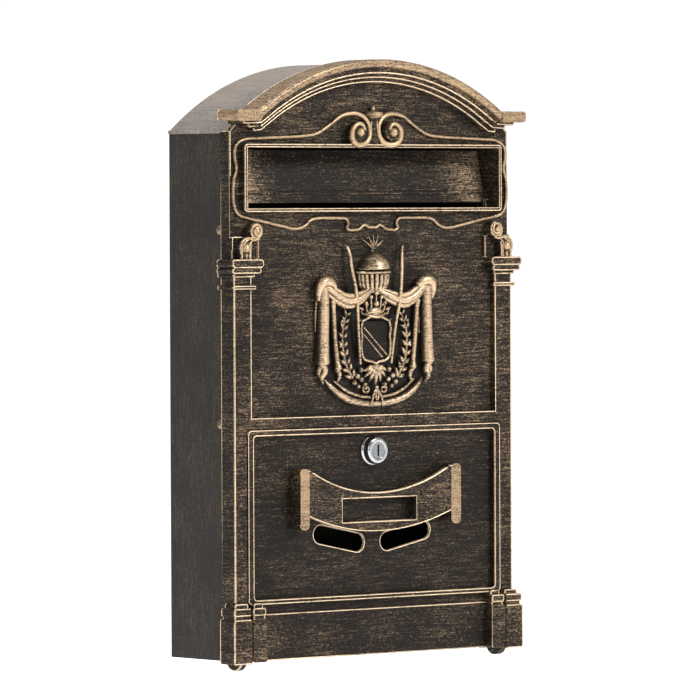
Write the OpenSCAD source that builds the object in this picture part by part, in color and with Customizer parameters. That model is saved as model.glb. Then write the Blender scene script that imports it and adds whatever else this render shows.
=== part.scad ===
// Wall mounted mailbox: a folded sheet metal box with a cast aluminium front.
// Letters drop through an inward swinging flap; the post is taken out through a
// bottom hinged door that a cam lock holds shut.
//
// Millimetres. X runs to the right as the front is seen, -Y points out of the front,
// +Z is up. Sub-parts are drawn with their height measured from the lowest point of the
// box and their depth measured from the wall, and stand() then moves them so that
// the origin is the centre of the four wall screw holes.

/* [Wall fixing] */
// Height of the centre of the wall screw pattern above the lowest point
datum_h = 200; // [180:5:220]
// Wall screw spacing across the box
screw_dx = 160; // [120:5:180]
// Wall screw spacing up the box
screw_dz = 260; // [220:5:280]
// Diameter of each wall screw hole
screw_hole_d = 6.5; // [5:0.5:8]

/* [Sheet metal box] */
// Overall width of the sheet metal box
box_w = 243.6; // [242:0.2:244]
// Thickness of the sheet
sheet_t = 1; // [0.8:0.1:1.2]
// Height of the underside of the floor
floor_h = 6.5; // [6:0.1:7]
// Height of the centre of the arch
arch_h = 223; // [221:0.5:224]
// Outer radius of the arched roof sheet
roof_r = 184.4; // [183.4:0.1:184.4]

/* [Front casting] */
// Overall width of the front plate
front_w = 248.6; // [248:0.2:250]
// Outer radius of the arched crown moulding
crown_r = 187; // [186.5:0.1:188]
// Distance of the plain field of the front from the wall
field_f = 67; // [66.5:0.1:67.5]
// Distance of the pilasters and the rail from the wall
frame_f = 71; // [70.5:0.1:71.5]
// Distance of the crown moulding from the wall
crown_f = 81; // [80:0.5:82]

/* [Letter flap] */
// Angle through which the flap leans back at rest
flap_lean = 13; // [11:1:14]
// Diameter of the flap's hinge rod
rod_d = 4; // [3:0.5:4]

/* [Door] */
// Width of the door
door_w = 226.4; // [225.6:0.2:226.8]
// Height of the top edge of the door
door_top_h = 161; // [160:0.2:161.2]
// Diameter of each hinge pin of the door
pin_d = 3; // [2.5:0.5:3.5]
// Radius of the ends of the two viewing slots
view_slot_r = 6.2; // [5:0.2:6.6]

/* [Lock] */
// Height of the lock
lock_h = 144.8; // [144:0.2:146]
// Diameter of the threaded lock barrel
barrel_d = 15.6; // [14:0.2:16]
// Diameter of the lock head
head_d = 18; // [17:0.2:19]

/* [Handle and crest] */
// Half width of the handle
handle_half = 72; // [70:0.5:73]
// Half width of the crest
crest_half = 52; // [50:0.5:53]
// Height of the middle of the crest
crest_h = 232; // [230:0.5:233]

/* [Hidden] */
$fn = 96;

box_half = box_w / 2;
front_half = front_w / 2;
cast_t = 3;                                    // wall of the castings
plate_back_f = field_f - cast_t;               // rear of the front plate
spring_h = arch_h + sqrt(pow(roof_r, 2) - pow(box_half, 2));
crown_back_f = 60;                             // rear of the crown moulding and ears
tray_d = 12;                                   // depth of the back panel's flanges
floor_front_f = 58.8;                          // front edge of the floor

// Riveted tabs that fix the casting into the box
rivet_f = 53;
rivet_hs = [165, 295];
rivet_d = 3.2;
tab_t = 2;

// Pilasters, capitals and bases
pilaster_in = 109.2;
rail_top_h = 169.1;
block_f = 76.5;
block_half = 129.4;
base_foot_h = 5;
base_top_h = 35;

// Letter slot
slot_half = 112.5;
slot_low_h = 309.5;
slot_top_h = 350;
slot_rim_w = 2.6;
slot_rim_f = 72;
cheek_t = 2;
cheek_back_f = 39.5;
rod_f = 44.5;
rod_h = 346;
rod_clear = 0.05;
flap_half = 111.6;
flap_len = 35;                                 // from the rod down to the lower edge
flap_back = 3.1;                               // rear of the flap in front of the rod
flap_t = 2;
knuckle_w = 12;
spring_x = 62;                                 // inner end of each coil
spring_len = 12;
wire_d = 0.9;

// Door
door_half = door_w / 2;
door_gap = 0.5;
hinge_f = 63;
hinge_h = 8.5;
lug_r = 8.5;
lug_in = 114.3;
lug_out = 119.2;
knuckle_r = 3.5;
knuckle_in = 101.4;
door_low_h = 6;
door_back_f = 65;
door_rim_f = 71.6;
door_rim_w = 5.2;
plinth_top_h = 37.5;
rim_low_h = 44;
strip_low_h = 46;                              // foot of the stop strips beside the door
strip_in = 108.6;
strip_gap = 0.4;
pin_clear = 0.05;
view_inner = [13.5, 82.4];
view_outer = [46, 89];

// Handle
handle_low_h = 93;
handle_top_h = 134;
handle_f = 77;
bar_w = 8;
web_mid_f = 74.5;
web_t = 2.5;
window_half = 33;
window_low_h = 97;
window_top_h = 112.5;
handle_screw_hs = [104, 124];
screw_d = 4;

// Lock
barrel_back_f = 47;
nut_af = 22;
nut_t = 4;
washer_t = 1;
plug_d = 11;
cam_len = 29;
cam_w = 13;
cam_t = 2;
cam_f = 44.6;
keyway_w = 1.6;
keyway_h = 8;

// Crest fixing
crest_stud_xs = [-24, 24];
crest_stud_h = 226;

// Puts a sub-part at its place in relation to the wall screw pattern
module stand()
    translate([0, 0, -datum_h]) children();

// Extrudes an outline drawn as it is seen from the front between two distances from
// the wall
module front_slab(f0, f1)
    rotate([90, 0, 0]) translate([0, 0, f0]) linear_extrude(f1 - f0) children();

// Extrudes a profile drawn as distance from the wall by height between two places in X
module cross_slab(x0, x1)
    rotate([90, 0, -90]) translate([0, 0, -x1]) linear_extrude(x1 - x0) children();

// A round bar or hole along X, at a distance from the wall and a height
module cross_bar(x0, x1, f, h, d)
    translate([x0, -f, h]) rotate([0, 90, 0]) cylinder(h = x1 - x0, d = d);

// A round bar or hole out of the wall, at a place in X and a height
module front_bar(x, h, f0, f1, d)
    translate([x, -f0, h]) rotate([90, 0, 0]) cylinder(h = f1 - f0, d = d);

module both_sides() {
    children();
    mirror([1, 0, 0]) children();
}

// A rectangle from corner to corner
module field(x0, x1, y0, y1)
    translate([x0, y0]) square([x1 - x0, y1 - y0]);

// The same with rounded corners
module soft_field(x0, x1, y0, y1, r)
    union() {
        field(x0 + r, x1 - r, y0, y1);
        field(x0, x1, y0 + r, y1 - r);
        for (x = [x0 + r, x1 - r], y = [y0 + r, y1 - r])
            translate([x, y]) circle(r);
    }

// A rounded rectangle centred in X
module round_field(half_w, y0, y1, r)
    soft_field(-half_w, half_w, y0, y1, r);

// Upright outline with an arched head
module arched_outline(half_w, r, low_h) {
    foot_of_arch = arch_h + sqrt(pow(r, 2) - pow(half_w, 2));
    union() {
        field(-half_w, half_w, low_h, foot_of_arch);
        intersection() {
            translate([0, arch_h]) circle(r);
            field(-half_w, half_w, foot_of_arch - 1, arch_h + r + 1);
        }
    }
}

// ---------------------------------------------------------------- sheet metal box

module back_panel() color("#2b2724") difference() {
    inset = sheet_t;
    union() {
        front_slab(0, sheet_t)
            arched_outline(box_half - inset, roof_r - inset, floor_h + inset);
        front_slab(0, tray_d) difference() {
            arched_outline(box_half - inset, roof_r - inset, floor_h + inset);
            arched_outline(box_half - 2 * inset, roof_r - 2 * inset, floor_h + 2 * inset);
        }
    }
    for (x = [-screw_dx / 2, screw_dx / 2], h = [datum_h - screw_dz / 2, datum_h + screw_dz / 2])
        front_bar(x, h, -1, sheet_t + 1, screw_hole_d);
}

module box_wrap() color("#2f2b28") difference() {
    union() {
        front_slab(0, floor_front_f)
            field(-box_half, box_half, floor_h, floor_h + sheet_t);
        both_sides() front_slab(0, plate_back_f)
            field(box_half - sheet_t, box_half, floor_h, spring_h);
    }
    for (h = rivet_hs)
        cross_bar(-box_half - 1, box_half + 1, rivet_f, h, rivet_d);
    // notches in the floor round the hinge lugs
    both_sides() cross_bar(lug_in - door_gap, lug_out + door_gap, hinge_f, hinge_h,
                           2 * (lug_r + door_gap));
}

// The arch, with a hem hooked over the side walls and a lip behind each of them
module roof_sheet() color("#57524f") {
    hem_w = 0.8;
    hem_drop = 1.8;
    lip_drop = 12;
    lip_x = box_half - 2 * sheet_t;
    union() {
        front_slab(0, crown_back_f) intersection() {
            translate([0, arch_h]) difference() {
                circle(roof_r);
                circle(roof_r - sheet_t);
            }
            field(-box_half, box_half, spring_h, arch_h + roof_r + 1);
        }
        both_sides() {
            front_slab(0, crown_back_f - 3) union() {
                field(box_half - 0.4, box_half + hem_w, spring_h, spring_h + 0.6);
                field(box_half, box_half + hem_w, spring_h - hem_drop, spring_h + 0.6);
            }
            front_slab(tray_d, crown_back_f - 3)
                field(lip_x, lip_x + sheet_t, spring_h - lip_drop, spring_h + 0.8);
        }
    }
}

// ---------------------------------------------------------------- front casting

// Fillets of the arch below its roll: outer and inner radius, front, and the height
// and reach of the level foot at each end
crown_steps = [
    [182, 177.5, crown_f - 3, 365.8, 121],
    [178, 174.5, crown_f - 5.5, 363.4, 115],
    [175, 171.5, crown_f - 8, 361, 108.5]
];
foot_t = 2.6;
roll_in_r = 181.5;
roll_edge_r = 2;
ear_low_h = 367.8;
ear_top_h = 375.4;
ear_half = 129.5;

// The roll along the top of the arch, with a soft front edge
module crown_roll() intersection() {
    translate([0, 0, arch_h]) rotate([90, 0, 0]) rotate_extrude($fn = 240) union() {
        field(roll_in_r, crown_r, crown_back_f, crown_f - roll_edge_r);
        field(roll_in_r + roll_edge_r, crown_r - roll_edge_r, crown_back_f, crown_f);
        for (r = [roll_in_r + roll_edge_r, crown_r - roll_edge_r])
            translate([r, crown_f - roll_edge_r]) circle(roll_edge_r, $fn = 32);
    }
    front_slab(crown_back_f - 1, crown_f + 1)
        field(-ear_half, ear_half, ear_low_h + 1, arch_h + crown_r + 1);
}

module ear()
    front_slab(crown_back_f, crown_f + 0.4)
        soft_field(sqrt(pow(roll_in_r, 2) - pow(ear_low_h - arch_h, 2)) - 2, ear_half,
                   ear_low_h, ear_top_h, 2.8);

module crown_step(step) {
    reach_in = sqrt(pow(step[1], 2) - pow(step[3] - arch_h, 2));
    front_slab(crown_back_f, step[2]) union() {
        intersection() {
            translate([0, arch_h]) difference() {
                circle(step[0], $fn = 240);
                circle(step[1], $fn = 240);
            }
            field(-step[4], step[4], step[3], arch_h + crown_r + 1);
        }
        for (x = [-step[4], reach_in])
            soft_field(x, x + step[4] - reach_in, step[3], step[3] + foot_t, 1);
    }
}

// Capital with its slab, second tier, fillet and astragal ring, which lap round the side
// of the box but stay out of the inside of it
module capital() difference() {
    tiers = [            // lowest and highest height, proud of the front, proud of the inner edge
        [269.6, 275.4, 5.2, 6.8], [265.8, 269.7, 4.4, 5.2], [263.4, 265.9, 1.4, 1.8],
        [255.2, 257.8, 2, 2.6]
    ];
    for (t = tiers)
        front_slab(crown_back_f - 6.2 + t[2], frame_f + t[2])
            soft_field(pilaster_in - t[3], front_half + t[2], t[0], t[1], (t[1] - t[0]) * 0.42);
    front_slab(rivet_f, plate_back_f)
        field(pilaster_in - 10, box_half, 250, 280);
}

// Base block of a pilaster with three rings above it; inner and outer edge given
module base_block(x_in, x_out, foot_h, wrap) {
    rings = [[base_top_h, 38.6, 1.4], [38.6, 42.4, 0.6], [42.4, 45.4, 3]];
    front_slab(wrap, block_f) soft_field(x_in, x_out, foot_h, base_top_h, 1.4);
    for (r = rings)
        front_slab(wrap + min(r[2], rings[0][2]), block_f - r[2])
            soft_field(x_in + r[2] / 3, x_out - r[2], r[0] - 1.4, r[1], 1.3);
}

// Plain core of a corbel: two scrolls joined by a neck, standing on the capital
module corbel_core() {
    front_slab(field_f - 1, field_f + 8) union() {
        translate([107.6, 294.4]) circle(5.2);
        translate([116.8, 282.6]) circle(4);
        polygon([[103, 292], [109, 289.6], [113, 285], [113, 275], [120.8, 275], [120.8, 284],
                 [117, 288], [112, 290.5], [111, 297]]);
    }
    front_slab(field_f - 1, field_f + 2) field(101.8, front_half, 275, 290.5);
}

// The casting without the two lips that the flap rests on
module casting_shell() difference() {
    union() {
        // field plate and the return that laps over the sheet walls
        front_slab(plate_back_f, field_f)
            arched_outline(front_half, crown_r - 1, floor_h + 6);
        both_sides() front_slab(crown_back_f - 3, field_f)
            field(box_half, front_half, base_foot_h + 1, spring_h);
        // pilasters and the rail between the field and the door
        both_sides() front_slab(field_f - 1, frame_f)
            field(pilaster_in, front_half, base_top_h, 266);
        front_slab(field_f - 1, frame_f)
            field(-pilaster_in, pilaster_in, door_top_h, rail_top_h);
        both_sides() capital();
        both_sides() base_block(door_half + 1, block_half, base_foot_h, crown_back_f + 1);
        both_sides() corbel_core();
        both_sides() ear();
        crown_roll();
        for (s = crown_steps)
            crown_step(s);
        // rim of the letter slot and the cheeks, head and sill behind it
        front_slab(field_f - 1, slot_rim_f)
            round_field(slot_half + slot_rim_w, slot_low_h - slot_rim_w, slot_top_h + slot_rim_w, 2.5);
        front_slab(cheek_back_f, plate_back_f + 1)
            field(-slot_half - cheek_t, slot_half + cheek_t, slot_low_h - cheek_t, slot_top_h + cheek_t);
        // cores of the two volutes and the finial between them
        both_sides() front_bar(14.6, 361.4, field_f - 1, field_f + 6, 13);
        front_slab(field_f - 1, field_f + 4) union() {
            field(-3, 3, 352, 371);
            field(-4.6, 4.6, 370.6, 374.4);
        }
        // lugs that carry the hinge pins and the stop strip behind the door
        both_sides() cross_bar(lug_in, lug_out, hinge_f, hinge_h, 2 * lug_r);
        both_sides() front_slab(door_back_f - 3, door_back_f - strip_gap)
            field(strip_in, box_half - sheet_t, strip_low_h, door_top_h + 5);
        front_slab(door_back_f - 3, door_back_f - strip_gap)
            field(-strip_in - 1, strip_in + 1, door_top_h - 4, door_top_h + 5);
        // strike that the cam turns up behind
        front_slab(cam_f + cam_t + 0.3, plate_back_f + 1) field(-8, 8, 160, 168);
        // tabs riveted inside the walls
        for (h = rivet_hs)
            both_sides() front_slab(rivet_f - 7, plate_back_f + 1)
                field(box_half - sheet_t - tab_t, box_half - sheet_t, h - 8, h + 8);
        // bosses that take the crest screws
        for (x = crest_stud_xs)
            front_bar(x, crest_stud_h, plate_back_f - 2, plate_back_f + 1, 9);
    }
    // doorway: the door fills it in front, and a slightly smaller one opens behind it
    front_slab(door_back_f - strip_gap, crown_f) union() {
        round_field(door_half + door_gap, 0, door_top_h + door_gap, 4);
        field(-door_half - door_gap, door_half + door_gap, -1, 30);
    }
    front_slab(cam_f, crown_f) field(-strip_in, strip_in, -1, door_top_h - 4);
    front_slab(cam_f, crown_f)
        field(-door_half - door_gap, door_half + door_gap, -1, strip_low_h);
    // slots in the base blocks for the sheet walls
    both_sides() front_slab(crown_back_f, plate_back_f)
        field(box_half - sheet_t, box_half, 0, base_top_h + 15);
    // letter slot, right through
    front_slab(cheek_back_f - 1, crown_f)
        field(-slot_half, slot_half, slot_low_h, slot_top_h);
    // bores of the flap rod, the hinge pins, the rivets and the crest screws
    cross_bar(-slot_half - cheek_t - 1, slot_half + cheek_t + 1, rod_f, rod_h, rod_d);
    both_sides() cross_bar(lug_in - 1, lug_out - 1, hinge_f, hinge_h, pin_d);
    for (h = rivet_hs)
        both_sides() cross_bar(box_half - sheet_t - tab_t - 1, box_half, rivet_f, h, rivet_d);
    for (x = crest_stud_xs)
        front_bar(x, crest_stud_h, plate_back_f - 4, field_f + 1, screw_d);
}

module front_casting() color("#3a322a") union() {
    casting_shell();
    both_sides() front_slab(58, 61)
        field(slot_half - 2.4, slot_half + 0.5, slot_low_h - 0.5, slot_low_h + 6);
}

// Pop rivets: a stepped head outside the wall and a set tail inside the tab
module side_rivets() color("#b9b2a6") {
    tail_t = 1.6;
    inner_x = box_half - sheet_t - tab_t;
    for (h = rivet_hs)
        both_sides() {
            cross_bar(inner_x - tail_t, inner_x, rivet_f, h, 5);
            cross_bar(inner_x - 0.5, box_half + 0.5, rivet_f, h, rivet_d);
            cross_bar(box_half, box_half + 0.6, rivet_f, h, 6);
            cross_bar(box_half + 0.5, box_half + 1.1, rivet_f, h, 4.2);
        }
}

// ---------------------------------------------------------------- letter flap

// Drawn hanging straight down from the rod, then leant so that its foot comes forward
module flap_profile(shape_from, shape_to)
    cross_slab(shape_from, shape_to)
        translate([rod_f, rod_h]) rotate(flap_lean) children();

module letter_flap() color("#4a3f32") difference() {
    step_v = -26.8;
    union() {
        flap_profile(-flap_half, flap_half) union() {
            field(flap_back, flap_back + flap_t, -flap_len, 1.2);
            field(flap_back, flap_back + flap_t + 0.9, step_v, 1.2);
            field(flap_back, flap_back + flap_t + 0.6, step_v - 2.6, step_v - 1.4);
            field(flap_back - 1.2, flap_back + flap_t, -flap_len, -flap_len + 1.6);
        }
        for (x = [-spring_x - spring_len - knuckle_w - 1, -knuckle_w / 2, spring_x + spring_len + 1])
            flap_profile(x, x + knuckle_w) union() {
                circle(3.2);
                field(0, flap_back + 0.5, -3.2, 1.2);
            }
    }
    cross_bar(-flap_half - 1, flap_half + 1, rod_f, rod_h, rod_d + 2 * rod_clear);
}

// Two torsion springs on the rod, each with a leg that presses on the flap's back
module flap_springs() color("#c9c9c6") {
    leg_r = 2.2;
    for (x = [-spring_x - spring_len, spring_x]) {
        difference() {
            cross_bar(x, x + spring_len, rod_f, rod_h, rod_d + 0.2 + 2 * wire_d);
            cross_bar(x - 1, x + spring_len + 1, rod_f, rod_h, rod_d + 0.2);
        }
        flap_profile(x, x + wire_d) field(leg_r, leg_r + wire_d, -12, 0);
    }
}

module flap_rod() color("#b9b9b6")
    cross_bar(-slot_half - cheek_t - 3, slot_half + cheek_t + 3, rod_f, rod_h, rod_d);

// Push-on retaining rings, one against the outside of each cheek
module rod_clips() color("#8f8f8c") both_sides() difference() {
    cross_bar(slot_half + cheek_t, slot_half + cheek_t + 1, rod_f, rod_h, rod_d + 4.6);
    cross_bar(slot_half, slot_half + cheek_t + 2, rod_f, rod_h, rod_d);
}

// ---------------------------------------------------------------- door

// One viewing slot, as it is seen from the front
module view_slot()
    hull() for (p = [view_inner, view_outer])
        translate(p) circle(view_slot_r, $fn = 32);

module door() color("#40372e") difference() {
    union() {
        front_slab(door_back_f, field_f) round_field(door_half, door_low_h, door_top_h, 3.5);
        front_slab(door_back_f, door_rim_f) difference() {
            round_field(door_half, rim_low_h, door_top_h, 3.5);
            round_field(door_half - door_rim_w, rim_low_h + 3.2, door_top_h - 4.2, 2.5);
        }
        front_slab(door_back_f, field_f + 2)
            field(-knuckle_in - 1, knuckle_in + 1, door_low_h, plinth_top_h);
        both_sides() base_block(knuckle_in, door_half, door_low_h, door_back_f);
        both_sides() cross_bar(knuckle_in, door_half, hinge_f, hinge_h, 2 * knuckle_r);
    }
    both_sides() front_slab(60, 75) view_slot();
    front_bar(0, lock_h, 60, 75, barrel_d + 0.4);
    both_sides() for (h = handle_screw_hs)
        front_bar(handle_half - bar_w / 2, h, 60, 75, screw_d + 0.2);
    both_sides() cross_bar(knuckle_in + 1, door_half + 1, hinge_f, hinge_h,
                           pin_d + 2 * pin_clear);
}

module door_hinge_pins() color("#a8a8a4")
    both_sides() cross_bar(knuckle_in + 2, lug_out - 1, hinge_f, hinge_h, pin_d);

// Two upright bars joined by a web that dips in the middle, with an open name window
module handle_plate() color("#5a4a37") difference() {
    bar_in = handle_half - bar_w;
    top_mid = 116.5;
    low_mid = 89.8;
    low_end = 102;
    web_end_f = 76.2;
    top_r = (pow(bar_in, 2) + pow(handle_top_h - top_mid, 2)) / (2 * (handle_top_h - top_mid));
    low_r = (pow(bar_in, 2) + pow(low_end - low_mid, 2)) / (2 * (low_end - low_mid));
    dip = web_end_f - web_mid_f;
    plan_r = (pow(bar_in, 2) + pow(dip, 2)) / (2 * dip);
    union() {
        both_sides() front_slab(field_f, handle_f) translate([bar_in + bar_w / 2, 0])
            round_field(bar_w / 2, handle_low_h, handle_top_h, 3.5);
        intersection() {
            front_slab(field_f, handle_f) difference() {
                intersection() {
                    translate([0, low_mid + low_r]) circle(low_r);
                    field(-bar_in - 1, bar_in + 1, low_mid - 1, handle_top_h - 1);
                }
                translate([0, top_mid + top_r]) circle(top_r);
                field(-window_half, window_half, window_low_h, window_top_h);
            }
            translate([0, -web_mid_f - plan_r, low_mid - 5]) difference() {
                cylinder(h = 60, r = plan_r + web_t);
                translate([0, 0, -1]) cylinder(h = 62, r = plan_r);
            }
        }
    }
    both_sides() for (h = handle_screw_hs)
        front_bar(bar_in + bar_w / 2, h, field_f - 1, field_f + 9, screw_d);
}

// A pan head screw driven towards the front; its head bears on the given depth
module fixing_screw(x, h, seat_f, tip_f) {
    front_bar(x, h, seat_f - 2.2, seat_f, 7.6);
    front_bar(x, h, seat_f - 0.5, tip_f, screw_d);
}

module handle_screws() color("#b4b4b0")
    both_sides() for (h = handle_screw_hs)
        fixing_screw(handle_half - bar_w / 2, h, door_back_f, field_f + 8);

// ---------------------------------------------------------------- lock

// A body turned about the lock's axis; its outline is radius by distance from the wall
module lock_turned()
    translate([0, 0, lock_h]) rotate([90, 0, 0]) rotate_extrude() children();

module lock_barrel() color("#d5d6d8") difference() {
    head_r = head_d / 2;
    edge = 0.8;
    lock_turned() polygon([
        [0, barrel_back_f], [barrel_d / 2, barrel_back_f], [barrel_d / 2, field_f],
        [head_r + 1.3, field_f], [head_r + 1.3, field_f + 1], [head_r, field_f + 1.8],
        [head_r, field_f + 7 - edge], [head_r - edge, field_f + 7], [0, field_f + 7]
    ]);
    front_bar(0, lock_h, barrel_back_f - 1, field_f + 8, plug_d + 2 * pin_clear);
}

module lock_washer() color("#a9a9a6") difference() {
    front_bar(0, lock_h, door_back_f - washer_t, door_back_f, barrel_d + 5);
    front_bar(0, lock_h, door_back_f - 2 * washer_t, door_back_f + 1, barrel_d + 0.2);
}

module lock_nut() color("#b7b7b3") difference() {
    seat_f = door_back_f - washer_t;
    front_slab(seat_f - nut_t, seat_f)
        translate([0, lock_h]) circle(d = nut_af / cos(30), $fn = 6);
    front_bar(0, lock_h, seat_f - nut_t - 1, seat_f + 1, barrel_d);
}

module lock_plug() color("#c2c3c5") difference() {
    front_bar(0, lock_h, cam_f + cam_t, field_f + 6.8, plug_d);
    front_slab(field_f - 8, field_f + 8)
        field(-keyway_w / 2, keyway_w / 2, lock_h - keyway_h / 2, lock_h + keyway_h / 2);
    front_bar(0, lock_h, cam_f, cam_f + cam_t + 7, screw_d);
}

// Lies to the left while the door is free and turns up behind the strike
module lock_cam() color("#c9b26a") difference() {
    front_slab(cam_f, cam_f + cam_t) translate([0, lock_h]) union() {
        circle(d = cam_w);
        field(-22, 0, -cam_w / 2, cam_w / 2);
    }
    front_bar(0, lock_h, cam_f - 1, cam_f + cam_t + 1, screw_d);
}

module cam_screw() color("#b4b4b0")
    fixing_screw(0, lock_h, cam_f, cam_f + cam_t + 6);

// ---------------------------------------------------------------- crest

// Draped mantle, shield and dome in plain relief, screwed on from inside the box
module crest() color("#a8834f") difference() {
    base_f = field_f;
    mantle_half = [[0, -58], [20, -55], [40, -46], [crest_half - 1, -32], [crest_half, 8],
                   [crest_half - 2, 30], [30, 16], [0, 14]];
    union() {
        // mantle, with a hanging fold down each side
        both_sides() front_slab(base_f, base_f + 4)
            translate([0, crest_h]) polygon(mantle_half);
        both_sides() front_slab(base_f, base_f + 8)
            field(crest_half - 11, crest_half - 1, crest_h - 28, crest_h + 26);
        // shield with the dome and its spike above
        front_slab(base_f, base_f + 8) field(-11, 11, crest_h - 28, crest_h + 6);
        front_slab(base_f, base_f + 6) intersection() {
            translate([0, crest_h + 26]) circle(15);
            field(-15, 15, crest_h + 12, crest_h + 43);
        }
        front_slab(base_f, base_f + 3) field(-1.2, 1.2, crest_h + 38, crest_h + 60);
        // staffs that spread upwards from behind the shield
        both_sides() front_slab(base_f, base_f + 5) translate([0, crest_h])
            polygon([[14, -32], [17, -32], [25.5, 50], [22.5, 50]]);
    }
    for (x = crest_stud_xs)
        front_bar(x, crest_stud_h, base_f - 1, base_f + 3, screw_d);
}

module crest_screws() color("#b4b4b0")
    for (x = crest_stud_xs)
        fixing_screw(x, crest_stud_h, plate_back_f - 2, field_f + 2.5);

// ---------------------------------------------------------------- the whole mailbox

stand() back_panel();
stand() box_wrap();
stand() roof_sheet();
stand() front_casting();
stand() side_rivets();
stand() letter_flap();
stand() flap_springs();
stand() flap_rod();
stand() rod_clips();
stand() door();
stand() door_hinge_pins();
stand() handle_plate();
stand() handle_screws();
stand() lock_barrel();
stand() lock_washer();
stand() lock_nut();
stand() lock_plug();
stand() lock_cam();
stand() cam_screw();
stand() crest();
stand() crest_screws();
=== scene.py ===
import math

import bmesh
import bpy
from mathutils import Matrix, Vector


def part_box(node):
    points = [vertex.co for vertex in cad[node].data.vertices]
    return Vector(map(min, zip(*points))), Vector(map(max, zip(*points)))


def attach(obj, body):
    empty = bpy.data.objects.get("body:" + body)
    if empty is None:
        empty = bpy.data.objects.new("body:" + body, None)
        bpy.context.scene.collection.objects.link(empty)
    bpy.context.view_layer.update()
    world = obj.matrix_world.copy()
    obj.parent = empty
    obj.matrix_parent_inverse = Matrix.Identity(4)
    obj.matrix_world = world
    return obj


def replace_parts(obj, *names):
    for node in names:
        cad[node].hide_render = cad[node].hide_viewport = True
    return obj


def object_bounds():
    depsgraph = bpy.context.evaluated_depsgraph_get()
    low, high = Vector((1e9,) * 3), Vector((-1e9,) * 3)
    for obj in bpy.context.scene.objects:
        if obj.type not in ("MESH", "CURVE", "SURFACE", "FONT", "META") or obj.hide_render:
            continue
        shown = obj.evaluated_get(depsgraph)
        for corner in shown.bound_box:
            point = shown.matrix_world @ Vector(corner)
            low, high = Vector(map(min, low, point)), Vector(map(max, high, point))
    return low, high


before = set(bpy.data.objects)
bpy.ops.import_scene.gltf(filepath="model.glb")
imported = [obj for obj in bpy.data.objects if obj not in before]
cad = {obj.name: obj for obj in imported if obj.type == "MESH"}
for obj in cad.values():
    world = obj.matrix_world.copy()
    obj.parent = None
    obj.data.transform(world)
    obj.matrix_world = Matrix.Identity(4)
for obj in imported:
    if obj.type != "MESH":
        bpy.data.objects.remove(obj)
cad_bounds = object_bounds()

# ------------------------------------------------------------------ studio
# The mailbox is seen from its left and a little above its middle, through a long lens, in
# front of a white sweep. A large soft key light stands in front of it on the right.

VIEW_YAW = math.radians(-40.656)
VIEW_PITCH = math.radians(1.3)
VIEW_ROLL = math.radians(-0.223)
VIEW_DISTANCE = 4.3953
VIEW_AIM = (0.0030, 0.0124)          # how far the aim lies right of and above the middle
LENS_MM = 331.1
MIDDLE = Vector((0, -0.04, 0))
FLOOR_DROP = 0.06                    # gap between the mailbox and the floor of the sweep

back = Vector((math.sin(VIEW_YAW) * math.cos(VIEW_PITCH),
               -math.cos(VIEW_YAW) * math.cos(VIEW_PITCH),
               math.sin(VIEW_PITCH)))
right = (-back).cross(Vector((0, 0, 1))).normalized()
up = right.cross(-back)
aim = MIDDLE + right * VIEW_AIM[0] + up * VIEW_AIM[1]
lens = bpy.data.cameras.new("camera")
lens.sensor_width = 36
lens.lens = LENS_MM
lens.clip_end = 60
camera = bpy.data.objects.new("camera", lens)
bpy.context.scene.collection.objects.link(camera)
camera.matrix_world = Matrix.Translation(aim + back * VIEW_DISTANCE) @ Matrix((
    right * math.cos(VIEW_ROLL) + up * math.sin(VIEW_ROLL),
    up * math.cos(VIEW_ROLL) - right * math.sin(VIEW_ROLL),
    back)).transposed().to_4x4()
bpy.context.scene.camera = camera

for name, place, size, watts in (
        ("key_front", (0.9, -2.3, 1.5), 0.8, 62),
        ("fill_left", (-2.4, -1.9, 0.9), 1.2, 13),
        ("top_light", (-0.4, 0.3, 2.0), 1.4, 34)):
    light = bpy.data.lights.new(name, "AREA")
    light.size = size
    light.energy = watts
    lamp = bpy.data.objects.new(name, light)
    lamp.location = place
    lamp.rotation_euler = (MIDDLE - Vector(place)).to_track_quat("-Z", "Y").to_euler()
    bpy.context.scene.collection.objects.link(lamp)

world = bpy.data.worlds.new("white_studio")
world.use_nodes = True
sky = world.node_tree
room = sky.nodes["Background"]
room.inputs["Color"].default_value = (0.98, 0.99, 1, 1)
room.inputs["Strength"].default_value = 0.34
backdrop = sky.nodes.new("ShaderNodeBackground")
backdrop.inputs["Color"].default_value = (1, 1, 1, 1)
backdrop.inputs["Strength"].default_value = 1.1
seen = sky.nodes.new("ShaderNodeLightPath")
either = sky.nodes.new("ShaderNodeMixShader")
sky.links.new(seen.outputs["Is Camera Ray"], either.inputs["Fac"])
sky.links.new(room.outputs[0], either.inputs[1])
sky.links.new(backdrop.outputs[0], either.inputs[2])
sky.links.new(either.outputs[0], sky.nodes["World Output"].inputs["Surface"])
bpy.context.scene.world = world
bpy.context.scene.view_settings.view_transform = "Standard"

bpy.ops.object.select_all(action="DESELECT")
bpy.ops.mesh.primitive_plane_add(size=60, location=(0, 0, cad_bounds[0][2] - FLOOR_DROP))
floor = bpy.context.object
floor.name = "floor"
sweep = bpy.data.materials.new("white_sweep")
sweep.use_nodes = True
shader = sweep.node_tree.nodes["Principled BSDF"]
shader.inputs["Base Color"].default_value = (0.9, 0.9, 0.9, 1)
shader.inputs["Roughness"].default_value = 0.9
shader.inputs["Emission Color"].default_value = (1, 1, 1, 1)
shader.inputs["Emission Strength"].default_value = 0.80
floor.data.materials.append(sweep)

# ------------------------------------------------------------------ sheet metal box
# The back, the wrapped sides with the floor, and the arched roof are 1 mm steel sheet. They
# are sprayed black and stroked once, up and down, with a nearly dry brush of bronze paint.

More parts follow.
